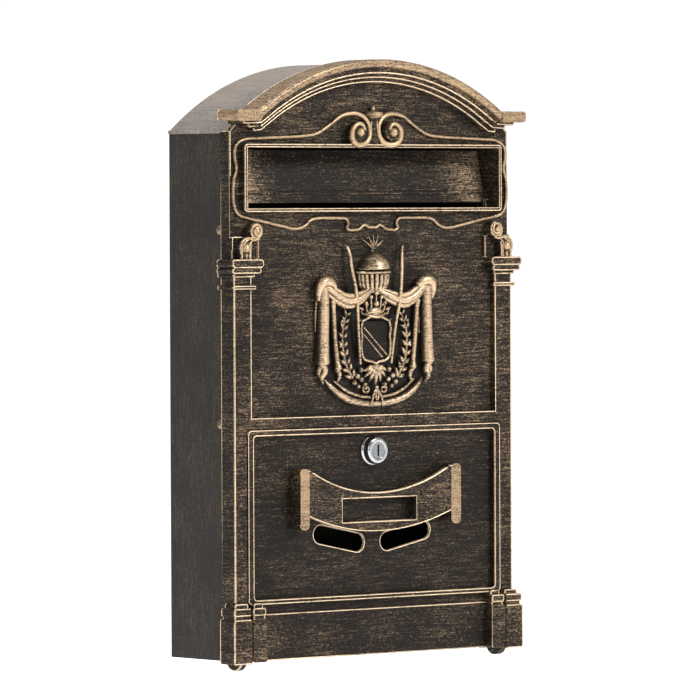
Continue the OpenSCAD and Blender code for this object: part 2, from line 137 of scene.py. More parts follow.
FOOT = cad_bounds[0][2]                  # lowest point of the mailbox
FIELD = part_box("crest")[1][1]            # plain field of the front, which the crest lies on
BLACK = (0.0095, 0.0074, 0.0058, 1)
BRONZE = (0.098, 0.069, 0.045, 1)
GOLD = (0.50, 0.33, 0.18, 1)


def maths(tree, operation, first, second, clamp=False):
    node = tree.nodes.new("ShaderNodeMath")
    node.operation = operation
    node.use_clamp = clamp
    for socket, value in zip(node.inputs, (first, second)):
        if isinstance(value, (int, float)):
            socket.default_value = value
        else:
            tree.links.new(value, socket)
    return node.outputs[0]


def noise(tree, vector, stretch, detail, roughness):
    """Noise with so many features a metre along each axis."""
    wide = tree.nodes.new("ShaderNodeVectorMath")
    wide.operation = "MULTIPLY"
    tree.links.new(vector, wide.inputs[0])
    wide.inputs[1].default_value = stretch
    node = tree.nodes.new("ShaderNodeTexNoise")
    node.inputs["Scale"].default_value = 1.0
    node.inputs["Detail"].default_value = detail
    node.inputs["Roughness"].default_value = roughness
    tree.links.new(wide.outputs[0], node.inputs["Vector"])
    return node.outputs["Fac"]


def remap(tree, value, low, high, to_low=0.0, to_high=1.0, smooth=False):
    node = tree.nodes.new("ShaderNodeMapRange")
    node.interpolation_type = "SMOOTHSTEP" if smooth else "LINEAR"
    tree.links.new(value, node.inputs["Value"])
    for label, number in (("From Min", low), ("From Max", high),
                          ("To Min", to_low), ("To Max", to_high)):
        if isinstance(number, (int, float)):
            node.inputs[label].default_value = number
        else:
            tree.links.new(number, node.inputs[label])
    return node.outputs["Result"]


def make_dry_brush():
    """The dry brush as a node group. Vector has its strokes along X; Load, 0 to 1, is how
    much paint reaches the surface. Paint is how thickly it lies, and Grain is its relief."""
    tree = bpy.data.node_groups.new("dry_brush", "ShaderNodeTree")
    tree.interface.new_socket("Vector", in_out="INPUT", socket_type="NodeSocketVector")
    tree.interface.new_socket("Load", in_out="INPUT", socket_type="NodeSocketFloat")
    tree.interface.new_socket("Paint", in_out="OUTPUT", socket_type="NodeSocketFloat")
    tree.interface.new_socket("Grain", in_out="OUTPUT", socket_type="NodeSocketFloat")
    given = tree.nodes.new("NodeGroupInput")
    out = tree.nodes.new("NodeGroupOutput")
    vector, load = given.outputs["Vector"], given.outputs["Load"]
    hair = noise(tree, vector, (260, 260, 2700), 2.0, 0.6)
    stroke = noise(tree, vector, (55, 55, 1000), 3.0, 0.6)
    fleck = noise(tree, vector, (700, 700, 1300), 2.0, 0.5)
    patch = noise(tree, vector, (26, 26, 34), 3.0, 0.6)
    lines = maths(tree, "ADD", maths(tree, "MULTIPLY", hair, 0.34),
                  maths(tree, "MULTIPLY", stroke, 0.28))
    lines = maths(tree, "ADD", lines, maths(tree, "MULTIPLY", fleck, 0.38))
    lines = maths(tree, "ADD", lines, maths(tree, "MULTIPLY",
                                            maths(tree, "SUBTRACT", patch, 0.5), 0.18))
    bare = maths(tree, "SUBTRACT", 0.60, maths(tree, "MULTIPLY", load, 0.34))
    full = maths(tree, "ADD", bare, 0.17)
    cover = remap(tree, lines, bare, full, smooth=True)
    thick = remap(tree, load, 0.1, 0.95, 0.55, 1.0)
    tree.links.new(maths(tree, "MULTIPLY", cover, thick), out.inputs["Paint"])
    grain = maths(tree, "ADD", maths(tree, "MULTIPLY", fleck, 0.45),
                  maths(tree, "MULTIPLY", hair, 0.55))
    tree.links.new(grain, out.inputs["Grain"])
    return tree


DRY_BRUSH = make_dry_brush()


def brushed_paint(name, load, turn=(0, 0, 0), under=BLACK, middle=BRONZE, top=GOLD,
                  proud=None, high=None, gloss=(0.42, 0.56), specular=0.11, metal=0.5,
                  bump=0.3, wide=None, facing_load=None):
    """Black paint with bronze and gold dry brushed over it. turn lays the strokes along
    another axis. proud, high and wide are (from, to, extra load): in metres out of the wall,
    in height and off the middle. The load of proud is paint on what stands out; the extra
    load of high and wide is painted light, a lighter paint towards a height or off the middle.
    facing_load is (turned away, facing): the brush reaches what faces it."""
    paint = bpy.data.materials.new(name)
    paint.use_nodes = True
    tree = paint.node_tree
    shader = tree.nodes["Principled BSDF"]
    place = tree.nodes.new("ShaderNodeTexCoord").outputs["Object"]
    turned = tree.nodes.new("ShaderNodeMapping")
    turned.inputs["Rotation"].default_value = turn
    tree.links.new(place, turned.inputs["Vector"])
    brush = tree.nodes.new("ShaderNodeGroup")
    brush.node_tree = DRY_BRUSH
    tree.links.new(turned.outputs["Vector"], brush.inputs["Vector"])
    brush.inputs["Load"].default_value = load
    apart = tree.nodes.new("ShaderNodeSeparateXYZ")
    tree.links.new(place, apart.inputs[0])
    amount = load
    if proud:
        depth = maths(tree, "MULTIPLY", apart.outputs["Y"], -1.0)
        amount = maths(tree, "ADD", remap(tree, depth, proud[0], proud[1], 0, proud[2]), amount)
    if high:
        amount = maths(tree, "ADD", remap(tree, apart.outputs["Z"], *high[:2], 0, high[2]), amount)
    if wide:
        off = maths(tree, "ABSOLUTE", apart.outputs["X"], 0)
        amount = maths(tree, "ADD", remap(tree, off, wide[0], wide[1], 0, wide[2]), amount)
    if facing_load:
        slope = tree.nodes.new("ShaderNodeSeparateXYZ")
        tree.links.new(tree.nodes["Texture Coordinate"].outputs["Normal"], slope.inputs[0])
        front = maths(tree, "MULTIPLY", slope.outputs["Y"], -1.0)
        amount = maths(tree, "ADD", remap(tree, front, 0.15, 0.95, *facing_load), amount)
    if proud or high or wide or facing_load:
        tree.links.new(amount, brush.inputs["Load"])
    colours = tree.nodes.new("ShaderNodeValToRGB")
    colours.color_ramp.elements[0].color = under
    colours.color_ramp.elements[1].color = top
    colours.color_ramp.elements.new(0.45).color = middle
    tree.links.new(brush.outputs["Paint"], colours.inputs["Fac"])
    tree.links.new(colours.outputs["Color"], shader.inputs["Base Color"])
    tree.links.new(remap(tree, brush.outputs["Paint"], 0.0, 0.9, 0.0, metal),
                   shader.inputs["Metallic"])
    tree.links.new(remap(tree, brush.outputs["Grain"], 0.35, 0.65, *gloss),
                   shader.inputs["Roughness"])
    shader.inputs["Specular IOR Level"].default_value = specular
    relief = tree.nodes.new("ShaderNodeBump")
    relief.inputs["Strength"].default_value = bump
    relief.inputs["Distance"].default_value = 0.0003
    tree.links.new(brush.outputs["Grain"], relief.inputs["Height"])
    tree.links.new(relief.outputs["Normal"], shader.inputs["Normal"])
    return paint


def pick(piece):
    """Makes a piece the only selected one."""
    bpy.ops.object.select_all(action="DESELECT")
    bpy.context.view_layer.objects.active = piece
    piece.select_set(True)


def new_piece(name, data):
    """A picked object for a new mesh or curve."""
    piece = bpy.data.objects.new(name, data)
    bpy.context.scene.collection.objects.link(piece)
    pick(piece)
    return piece


WELD = 0.00002                           # corners closer than this are one


def merged_copy(node):
    """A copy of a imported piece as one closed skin."""
    piece = cad[node].copy()
    piece.data = cad[node].data.copy()
    piece.name = node + "_finished"
    piece.data.name = piece.name
    piece.parent = None
    piece.matrix_world = Matrix.Identity(4)
    piece.data.materials.clear()
    bpy.context.scene.collection.objects.link(piece)
    pick(piece)
    bpy.ops.mesh.customdata_custom_splitnormals_clear()
    bpy.ops.object.mode_set(mode="EDIT")
    bpy.ops.mesh.select_all(action="SELECT")
    bpy.ops.mesh.remove_doubles(threshold=WELD)
    bpy.ops.mesh.dissolve_degenerate(threshold=WELD)
    bpy.ops.object.mode_set(mode="OBJECT")
    return piece


def soften(piece, width):
    """Rounds the sharp edges of a plain turned or sawn piece."""
    bpy.ops.object.mode_set(mode="EDIT")
    bpy.ops.mesh.select_all(action="SELECT")
    bpy.ops.mesh.tris_convert_to_quads(face_threshold=math.radians(1),
                                       shape_threshold=math.radians(180))
    bpy.ops.object.mode_set(mode="OBJECT")
    edge = piece.modifiers.new("soft_edges", "BEVEL")
    edge.width = width
    edge.segments = 2
    edge.angle_limit = math.radians(40)
    bpy.ops.object.modifier_apply(modifier=edge.name)


SLIVER = 0.00005                         # a face narrower than this has no sure direction
SHARP = math.radians(22)                 # an edge sharper than this takes gold
SAME_WAY = 0.35                          # faces turned by less than this count as one
SINK = 0.76                              # how much of its radius a ridge is sunk


def beyond(edge, side):
    """The face beside an edge, looking across any sliver there."""
    for _ in range(4):
        longest = max(side.edges, key=lambda e: e.calc_length() if e is not edge else 0)
        if 2 * side.calc_area() > SLIVER * longest.calc_length():
            break
        across = [face for face in longest.link_faces if face is not side]
        if not across:
            break
        edge, side = longest, across[0]
    return side


def gilded_edges(piece, width, paint, spare):
    """A thin rounded ridge of paint along every outward edge, sunk almost flush into the
    piece and left selected. spare(place) leaves some edges out."""
    skin = bmesh.new()
    skin.from_mesh(piece.data)
    kept, sides = set(), {}
    for edge in skin.edges:
        if len(edge.link_faces) != 2:
            continue
        middle = (edge.verts[0].co + edge.verts[1].co) / 2
        one, other = (beyond(edge, side) for side in edge.link_faces)
        if one.normal.angle(other.normal, 0) < SHARP or spare(middle):
            continue
        if (other.calc_center_median() - middle).dot(one.normal) > 0:
            continue
        kept.add(edge)
        for point in edge.verts:
            normals = sides.setdefault(point, [])
            for side in (one, other):
                if all(side.normal.angle(known, 0) > SAME_WAY for known in normals):
                    normals.append(side.normal.copy())
    for point, normals in sides.items():
        point.co -= sum(normals[:3], Vector()) * SINK * width
    bmesh.ops.delete(skin, geom=skin.faces[:], context="FACES_ONLY")
    bmesh.ops.delete(skin, geom=[e for e in skin.edges if e not in kept], context="EDGES")
    bmesh.ops.delete(skin, geom=[v for v in skin.verts if not v.link_edges], context="VERTS")
    mesh = bpy.data.meshes.new("gilded_edges")
    skin.to_mesh(mesh)
    skin.free()
    new_piece("gilded_edges", mesh)
    bpy.ops.object.convert(target="CURVE")
    ridge = bpy.context.object
    ridge.data.bevel_depth = width
    ridge.data.bevel_resolution = 1
    ridge.data.use_fill_caps = True
    bpy.ops.object.convert(target="MESH")
    ridge = bpy.context.object
    low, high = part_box(piece.name.removesuffix("_finished"))
    for point in ridge.data.vertices:
        point.co = [min(max(c, a), b) for c, a, b in zip(point.co, low, high)]
    ridge.data.materials.clear()
    ridge.data.materials.append(paint)
    bpy.ops.object.shade_smooth()


def finish_node(node, body, slot, width, *paints, gilt=None, spare=lambda place: False):
    """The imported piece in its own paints. Its edges are gilded, or else softened, as wide as
    width says."""
    piece = merged_copy(node)
    for paint in paints:
        piece.data.materials.append(paint)
    if not gilt:
        soften(piece, width)
    bpy.ops.object.shade_smooth_by_angle(angle=math.radians(32))
    flat = piece.modifiers.new("flat_sides", "WEIGHTED_NORMAL")
    flat.keep_sharp = True
    bpy.ops.object.modifier_apply(modifier=flat.name)
    if gilt:
        gilded_edges(piece, width, gilt, spare)
        piece.select_set(True)
        bpy.context.view_layer.objects.active = piece
        bpy.ops.object.join()
    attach(piece, body)
    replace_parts(piece, node)
    return piece


UPRIGHT = Matrix(((0, 0, 1), (1, 0, 0), (0, 1, 0))).to_euler()       # strokes up and down
LENGTHWISE = Matrix(((0, 1, 0), (0, 0, 1), (1, 0, 0))).to_euler()    # strokes off the wall
BACK_UPRIGHT = (0, math.pi / 2, 0)       # up and down on a face that lies on the wall

GILT_EDGE = brushed_paint("gilt_edge", 0.80, under=(0.045, 0.030, 0.018, 1),
                          middle=(0.34, 0.225, 0.13, 1), top=(0.90, 0.69, 0.46, 1),
                          gloss=(0.36, 0.48), specular=0.5, metal=0.6)
SIDE_PAINT = brushed_paint("side_paint", 0.40, UPRIGHT, under=(0.020, 0.017, 0.015, 1),
                           middle=(0.045, 0.037, 0.031, 1), top=(0.13, 0.098, 0.065, 1),
                           specular=0.16)
# The roof's paint is the sheet's brushed paint with a painted sheen of the top light in it. Its
# colours are lighter than those of the sides, and high makes it lighter still towards the top of
# the roof.
ROOF_PAINT_AND_SHEEN = brushed_paint("roof_paint_and_sheen", 0.34, LENGTHWISE, under=(0.145, 0.130, 0.124, 1),
                           middle=(0.27, 0.225, 0.19, 1), top=(0.46, 0.38, 0.31, 1),
                           gloss=(0.32, 0.42), specular=0.8, high=(0.150, 0.205, 0.36))
BACK_PAINT = brushed_paint("back_paint", 0.34, BACK_UPRIGHT, under=(0.020, 0.017, 0.015, 1),
                           middle=(0.045, 0.037, 0.031, 1), top=(0.10, 0.078, 0.055, 1),
                           specular=0.16)
finish_node("back_panel", "box", "black_sheet", 0.0002, BACK_PAINT)
finish_node("box_wrap", "box", "black_sheet", 0.0003, SIDE_PAINT, gilt=GILT_EDGE)
finish_node("roof_sheet", "box", "grey_black_sheet", 0.0002, ROOF_PAINT_AND_SHEEN, gilt=GILT_EDGE)

# ------------------------------------------------------------------ front casting
# One aluminium casting: field, pilasters, rail, arched crown, bases and the frame of the
# letter slot. It is sprayed black and dry brushed from side to side, and its edges gilded.

ARCH_CENTRE = Vector((0, 0, FOOT + 0.223))
ROLL_INSIDE = 0.1813                     # radius at which the crown's roll begins
CROWN_BACK = -0.0601
EAR_FOOT = FOOT + 0.3676
EAR_IN = 0.110
VOLUTE_CORE = Vector((0.0146, 0, FOOT + 0.3614))
CORE_R = 0.0080
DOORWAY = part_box("door")[1] + Vector((0.0016, 0, 0.0016))

CAST_PAINT = brushed_paint("cast_paint", 0.36, proud=(0.0675, 0.080, 0.09))
ROLL_PAINT = brushed_paint("roll_paint", 0.66, under=(0.026, 0.018, 0.011, 1),
                           middle=(0.185, 0.12, 0.068, 1), top=(0.50, 0.345, 0.20, 1),
                           gloss=(0.30, 0.46), specular=0.5, metal=0.7, bump=0.6)


def on_the_roll(place):
    """Whether a place is on the round roll of the crown or on one of its two ears."""
    from_centre = Vector((place.x, 0, place.z)) - ARCH_CENTRE
    return place.y < CROWN_BACK and place.z > EAR_FOOT and (
        from_centre.length > ROLL_INSIDE or abs(place.x) > EAR_IN)


def ungilded(place):
    """The roll, the cores that the volutes are wound on, and the rebate round the door."""
    from_core = Vector((abs(place.x), 0, place.z)) - VOLUTE_CORE
    by_door = abs(place.x) < DOORWAY.x and place.z < DOORWAY.z
    return on_the_roll(place) or from_core.length < CORE_R or by_door


front = finish_node("front_casting", "box", "bronzed_casting", 0.00065, CAST_PAINT, ROLL_PAINT,
                    gilt=GILT_EDGE, spare=ungilded)
for face in front.data.polygons:
    if face.material_index == 0 and on_the_roll(face.center):
        face.material_index = 1

# ------------------------------------------------------------------ relief of the front
# The scrolled bead round the letter slot, the two volutes with the finial between them, and
# the small consoles on the capitals are cast in one with the front, and gilded.


def at(x, h, out):
    """A place given in millimetres: across, above the lowest point, out from the field."""
    return Vector((x / 1000, FIELD - out / 1000, FOOT + h / 1000))


def bead(path, thick=1.0, closed=False, along=5, round_by=3):
    """A rounded bead through places (across, height, out, thickness), thick times as wide
    as it says."""
    curve = bpy.data.curves.new("bead", "CURVE")
    curve.dimensions = "3D"
    curve.bevel_depth = 0.001
    curve.bevel_resolution = round_by
    curve.resolution_u = along
    curve.use_fill_caps = True
    line = curve.splines.new("BEZIER")
    line.bezier_points.add(len(path) - 1)
    for point, stop in zip(line.bezier_points, path):
        point.co = at(*stop[:3])
        point.radius = thick * (stop[3] if len(stop) > 3 else 1)
        point.handle_left_type = point.handle_right_type = "AUTO"
    line.use_cyclic_u = closed
    new_piece("bead", curve)
    bpy.ops.object.convert(target="MESH")
    return bpy.context.object


def mirrored(path):
    return [(-stop[0],) + tuple(stop[1:]) for stop in path]


def both(path, thick=1.0, **form):
    """The same bead on the right and on the left."""
    return [bead(path, thick, **form), bead(mirrored(path), thick, **form)]


def turned(profile, centre, axis, steps=32):
    """A body turned about an axis; the profile is (radius, how far along) in millimetres."""
    axis = Vector(axis)
    side = Vector((0, 0, 1)) if abs(axis.x) > 0.5 else Vector((1, 0, 0))
    centre = at(*centre)
    mesh = bpy.data.meshes.new("turned")
    mesh.from_pydata([centre + side * r / 1000 + axis * a / 1000 for r, a in profile],
                     [(i, i + 1) for i in range(len(profile) - 1)], [])
    piece = new_piece("turned", mesh)
    bpy.ops.object.mode_set(mode="EDIT")
    bpy.ops.mesh.select_all(action="SELECT")
    bpy.ops.mesh.spin(steps=steps, angle=math.radians(360), center=centre, axis=axis)
    bpy.ops.mesh.select_all(action="SELECT")
    bpy.ops.mesh.remove_doubles(threshold=0.000005)
    bpy.ops.mesh.normals_make_consistent(inside=False)
    bpy.ops.object.mode_set(mode="OBJECT")
    return piece


def ball(x, h, out, r):
    """A round boss, a little flattened towards the field."""
    steps = [math.radians(-90 + 22.5 * i) for i in range(9)]
    return turned([(r * math.cos(a), r * math.sin(a)) for a in steps], (x, h, out),
                  (0, -1, 0), steps=16)


def joined(name, pieces, body, slot, *paints):
    """Several shapes made one piece, in its paints."""
    whole = pieces[0]
    pick(whole)
    for piece in pieces:
        piece.select_set(True)
    if len(pieces) > 1:
        bpy.ops.object.join()
    whole.name = name
    whole.data.name = name
    whole.data.materials.clear()
    for paint in paints:
        whole.data.materials.append(paint)
    bpy.ops.object.shade_smooth_by_angle(angle=math.radians(40))
    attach(whole, body)
    return whole


def scroll(x, h, out, radius, end_radius, start, turns, way, rise, thick=1.0):
    """Places along a spiral that winds in towards (x, h), climbing by rise. way is 1 or -1,
    for the side to which it winds."""
    stops = max(6, round(turns * 12))
    path = []
    for i in range(stops + 1):
        part = i / stops
        angle = math.radians(start) + way * part * turns * 2 * math.pi
        reach = radius + (end_radius - radius) * part ** 0.8
        path.append((x + reach * math.cos(angle), h + reach * math.sin(angle),
                     out + rise * part, thick * (1 + 0.25 * part)))
    return path


RELIEF_GILT = brushed_paint("relief_gilt", 0.54, facing_load=(-0.30, 0.06),
                            proud=(0.0672, 0.0715, 0.28),
                            under=(0.026, 0.018, 0.011, 1), middle=(0.17, 0.112, 0.063, 1),
                            top=(0.50, 0.35, 0.205, 1), gloss=(0.32, 0.48), specular=0.5,
                            metal=0.7, bump=0.5)

upper = [(122, 329), (119.8, 336), (121.4, 345), (120, 351.4), (114, 355), (100, 356.2),
         (80, 357), (60, 358), (50, 359.4), (42, 363)]
lower = [(122, 330), (122.6, 320), (121.8, 311.6), (118.4, 305.6), (111, 303), (98, 300.8),
         (80, 297.4), (68, 295.6), (60, 297.6), (55, 301.2), (50, 302.4), (38, 302.6),
         (25, 302.6)]
step = [(25, 302.6), (22.6, 301.2), (21.7, 298.4), (22.8, 296.2), (21, 294.6), (16.4, 294.6),
        (12, 295), (9, 297), (6.6, 297.8), (3.6, 296.4), (0, 296.3)]
volute = [(42, 363, 1.2, 1.1), (35, 367.2, 1.4, 1.2), (28, 371.4, 1.6, 1.4), (20.4, 373.2, 2, 1.6),
          (13.2, 372.8, 2.4, 1.7), (6.6, 369, 2.8, 1.8), (3.8, 362, 3.2, 1.9), (6, 355.4, 3.8, 2.1),
          (12.6, 352, 4.4, 2.3), (19.6, 354, 5.2, 2.2), (22, 359.8, 6, 1.9), (19, 365.2, 6.4, 1.6),
          (13.6, 366, 6.6, 1.4), (11, 362.4, 6.6, 1.2)]
beads = both([(x, h, 1.2) for x, h in upper], 1.15) + both(volute)
for run in (lower, step):
    beads += both([(x, h, 1.2) for x, h in run], 1.1)
for side in (-1, 1):
    beads.append(ball(side * 14.8, 360.6, 6.2, 3.2))
joined("slot_border", beads, "box", "gilt_relief", RELIEF_GILT)

FINIAL = [(0, 378.2), (1.3, 377.8), (1.7, 376.8), (1.4, 375.6), (3.6, 375), (6.8, 374.2),
          (7.6, 372.8), (6.8, 371.6), (4.2, 370.4), (3.2, 368.6), (2.9, 364), (3.2, 359),
          (3.8, 355.4), (4.2, 353.2), (0, 353)]
NECK_TOP = FOOT + 0.3702
finial = joined("finial", [turned([(r, h - 360) for r, h in FINIAL], (0, 360, 2.2), (0, 0, 1))],
                "box", "gilt_relief", RELIEF_GILT, CAST_PAINT)
for face in finial.data.polygons:
    face.material_index = int(face.center.z < NECK_TOP)

EYE_X, EYE_H = 107.6, 294.4
BOSS_X, BOSS_H = 116.8, 282.9
consoles = both(scroll(EYE_X, EYE_H, 7.6, 5.2, 1.8, -70, 1.5, 1, rise=1.2))
consoles += both([(105.6, 289.2, 7.6, 0.9), (110, 288.2, 7.8, 0.95), (115.6, 289.4, 7.8, 0.95),
                  (120.6, 286.6, 7.8, 0.95), (121.6, 281.6, 7.6, 0.9), (120.4, 277.6, 7.6, 0.9),
                  (121, 275.6, 7.2, 0.9)])
consoles += both([(112, 286, 7.2, 0.7), (112.6, 280, 7.2, 0.7), (112.4, 275.8, 7.2, 0.7)])
consoles += both([(101.8, 276, 2, 0.8), (101.8, 284, 2, 0.8), (101.8, 290, 2, 0.8)])
consoles += both([(BOSS_X, 279, 8, 0.9), (BOSS_X, 275.8, 8, 0.7)])
for side in (-1, 1):
    consoles.append(ball(side * EYE_X, EYE_H, 8.2, 2.0))
    consoles.append(ball(side * BOSS_X, BOSS_H, 7.0, 3.4))
joined("capital_consoles", consoles, "box", "gilt_relief", RELIEF_GILT)

# ------------------------------------------------------------------ pop rivets
# Two aluminium rivets on each side hold the casting's tabs inside the sheet walls. Each head
# is a low dome with a rolled rim and the dimple left by its mandrel.

RIVET_HEAD = [(0, 0.75), (0.8, 0.75), (0.95, 1.15), (1.9, 1.02), (2.7, 0.62), (3.1, 0.25),
              (3.15, 0), (1.6, 0), (1.6, -3), (2.5, -3), (2.4, -4.2), (1.2, -4.6), (0, -4.6)]


def worn_metal(name, colour, dull, gloss, size):
    """Bare or plated metal with cloudy wear and fine scratches of its own scale: size is
    how many clouds there are to a metre."""
    paint = bpy.data.materials.new(name)
    paint.use_nodes = True
    tree = paint.node_tree
    shader = tree.nodes["Principled BSDF"]
    place = tree.nodes.new("ShaderNodeTexCoord").outputs["Object"]
    cloud = noise(tree, place, (size, size, size), 4.0, 0.6)
    fine = noise(tree, place, (size * 7, size * 7, size * 9), 2.0, 0.6)
    wear = maths(tree, "ADD", maths(tree, "MULTIPLY", cloud, 0.6),
                 maths(tree, "MULTIPLY", fine, 0.4))
    mix = tree.nodes.new("ShaderNodeMix")
    mix.data_type = "RGBA"
    tree.links.new(remap(tree, wear, 0.38, 0.62), mix.inputs["Factor"])
    mix.inputs["A"].default_value = dull
    mix.inputs["B"].default_value = colour
    tree.links.new(mix.outputs["Result"], shader.inputs["Base Color"])
    tree.links.new(remap(tree, fine, 0.35, 0.65, *gloss), shader.inputs["Roughness"])
    shader.inputs["Metallic"].default_value = 1.0
    relief = tree.nodes.new("ShaderNodeBump")
    relief.inputs["Strength"].default_value = 0.25
    relief.inputs["Distance"].default_value = 0.0001
    tree.links.new(fine, relief.inputs["Height"])
    tree.links.new(relief.outputs["Normal"], shader.inputs["Normal"])
    return paint


RIVET_METAL = worn_metal("rivet_metal", (0.42, 0.30, 0.19, 1), (0.10, 0.07, 0.045, 1),
                         (0.30, 0.50), 900)
WALL_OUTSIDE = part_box("box_wrap")[1][0] * 1000
RIVET_OUT = -14                          # behind the field
RIVET_HEIGHTS = (165, 295)
rivets = [turned(RIVET_HEAD, (side * WALL_OUTSIDE, height, RIVET_OUT), (side, 0, 0))
          for height in RIVET_HEIGHTS for side in (-1, 1)]
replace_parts(joined("pop_rivets", rivets, "box", "bronzed_rivet", RIVET_METAL), "side_rivets")

# ------------------------------------------------------------------ letter flap
# A cast plate with three knuckles, hung on a steel rod and leaning back. It is dry brushed
# like the front. Two torsion springs on the rod press it shut, and a ring holds each end.

# wide lightens the flap towards both ends: a painted highlight of the light falling on them, over
# the flap's brushed paint.
FLAP_PAINT_AND_HIGHLIGHT = brushed_paint("flap_paint_and_highlight", 0.30, top=(0.46, 0.33, 0.20, 1),
                           wide=(0.068, 0.098, 0.30))
FLAP_EDGE = brushed_paint("flap_edge", 0.46, top=(0.42, 0.30, 0.18, 1))
ZINC = worn_metal("zinc_plate", (0.66, 0.66, 0.63, 1), (0.42, 0.43, 0.42, 1), (0.26, 0.42), 160)
SPRING_STEEL = worn_metal("spring_steel", (0.46, 0.46, 0.45, 1), (0.22, 0.22, 0.22, 1),
                          (0.28, 0.42), 300)
finish_node("letter_flap", "flap", "bronzed_casting", 0.0005, FLAP_PAINT_AND_HIGHLIGHT, gilt=FLAP_EDGE)
finish_node("flap_rod", "box", "zinc_steel", 0.0003, ZINC)
finish_node("rod_clips", "box", "spring_steel", 0.0001, SPRING_STEEL)

ROD_OUT, ROD_H = -22.5, 346
COIL_R, WIRE, COIL_IN, COIL_LEN = 2.55, 0.44, 62, 12
STOPS = 8                                # places to one turn of the coil
COIL_STOPS = STOPS * round(COIL_LEN / (2 * WIRE + 0.04))
LEAN = math.radians(13)
springs = []
for side in (-1, 1):
    path = []
    for i in range(COIL_STOPS + 1):
        angle = i * 2 * math.pi / STOPS
        path.append((side * (COIL_IN + WIRE + (COIL_LEN - 2 * WIRE) * i / COIL_STOPS),
                     ROD_H + COIL_R * math.cos(angle), ROD_OUT - COIL_R * math.sin(angle)))
    leg_x = side * (COIL_IN + WIRE)
    leg = [(leg_x, ROD_H - v * math.cos(LEAN) + COIL_R * math.sin(LEAN),
            ROD_OUT + v * math.sin(LEAN) + COIL_R * math.cos(LEAN)) for v in (0, 3, 8, 12)]
    springs += [bead(path, WIRE, along=2, round_by=2), bead(leg, WIRE, round_by=2)]
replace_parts(joined("torsion_springs", springs, "flap", "spring_steel", SPRING_STEEL),
            "flap_springs")

# ------------------------------------------------------------------ door
# The door is cast like the front, with a raised rim, two viewing slots and the inner halves
# of the bases. It turns on two steel pins in the lugs below the front.

DOOR_PAINT = brushed_paint("door_paint", 0.29, proud=(0.0675, 0.080, 0.18))
finish_node("door", "door", "bronzed_casting", 0.00065, DOOR_PAINT, gilt=GILT_EDGE)
finish_node("door_hinge_pins", "box", "zinc_steel", 0.0002, ZINC)

# ------------------------------------------------------------------ handle
# One casting screwed on from behind the door: two upright bars, gilded where they face
# forward, and a curved web with an open window between them, black with gilded edges.

BAR_INSIDE = 0.0641
FOOT_RISE = 0.001                        # the handle's foot, this far off the door, stays black
WEB_PAINT = brushed_paint("web_paint", 0.40)
handle = finish_node("handle_plate", "door", "bronzed_casting", 0.0007, WEB_PAINT, ROLL_PAINT,
                     gilt=GILT_EDGE, spare=lambda place: place.y > FIELD - FOOT_RISE)
for face in handle.data.polygons:
    if face.material_index == 0 and abs(face.center.x) > BAR_INSIDE and face.normal.y < -0.4:
        face.material_index = 1

# ------------------------------------------------------------------ screws
# Zinc plated pan head screws with a cross recess hold the handle, the crest and the lock's
# cam. The screws of the handle and the crest are driven from inside the box.

HEAD_R, HEAD_T, RECESS = 3.8, 2.2, 1.3
CROSS_LONG, CROSS_WIDE = 3.6, 0.62
PITCH = 0.7
CORE, THREAD = 1.66, 2                   # radii of the thread
HANDLE_SCREWS = [(x, h) for x in (-65, 65) for h in (104, 124)]
CREST_SCREWS = [(x, 226) for x in (-24, 24)]
LOCK_H = 144.8


def pan_screw(x, h, seat, tip):
    """A screw along Y; its head bears at seat, behind the field, and its end is at tip."""
    head = [(0, -HEAD_T), (2.2, -HEAD_T + 0.05), (3.3, -HEAD_T + 0.5), (HEAD_R, -HEAD_T + 1.3),
            (HEAD_R, 0), (THREAD, 0)]
    thread, along = [], 0.4
    while along < tip - seat - 1.2:
        thread += [(CORE, along), (THREAD, along + PITCH / 2)]
        along += PITCH
    screw = turned(head + thread + [(1.7, along), (1.2, tip - seat), (0, tip - seat)],
                   (x, h, seat), (0, -1, 0))
    for tall, wide in ((CROSS_WIDE, CROSS_LONG), (CROSS_LONG, CROSS_WIDE)):
        bpy.ops.object.select_all(action="DESELECT")
        bpy.ops.mesh.primitive_cube_add(size=1, location=at(x, h, seat - HEAD_T + RECESS / 2 - 0.1),
                                        scale=(wide / 1000, RECESS / 1000, tall / 1000))
        cutter = bpy.context.object
        cut = screw.modifiers.new("recess", "BOOLEAN")
        cut.operation = "DIFFERENCE"
        cut.object = cutter
        bpy.context.view_layer.objects.active = screw
        bpy.ops.object.modifier_apply(modifier=cut.name)
        bpy.data.objects.remove(cutter)
    return screw


for node, name, body, places, seat, tip in (
        ("handle_screws", "handle_pan_screws", "door", HANDLE_SCREWS, -2, 8),
        ("crest_screws", "crest_pan_screws", "box", CREST_SCREWS, -5, 0.6),
        ("cam_screw", "cam_pan_screw", "lock", [(0, LOCK_H)], -22.4, -14.4)):
    screws = [pan_screw(x, h, seat, tip) for x, h in places]
    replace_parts(joined(name, screws, body, "zinc_steel", ZINC), node)

# ------------------------------------------------------------------ lock
# A chromed cam lock pushed through the door and held by a washer and nut. Its plug has a
# satin face with a keyway, and turns the steel cam that catches behind the rail.

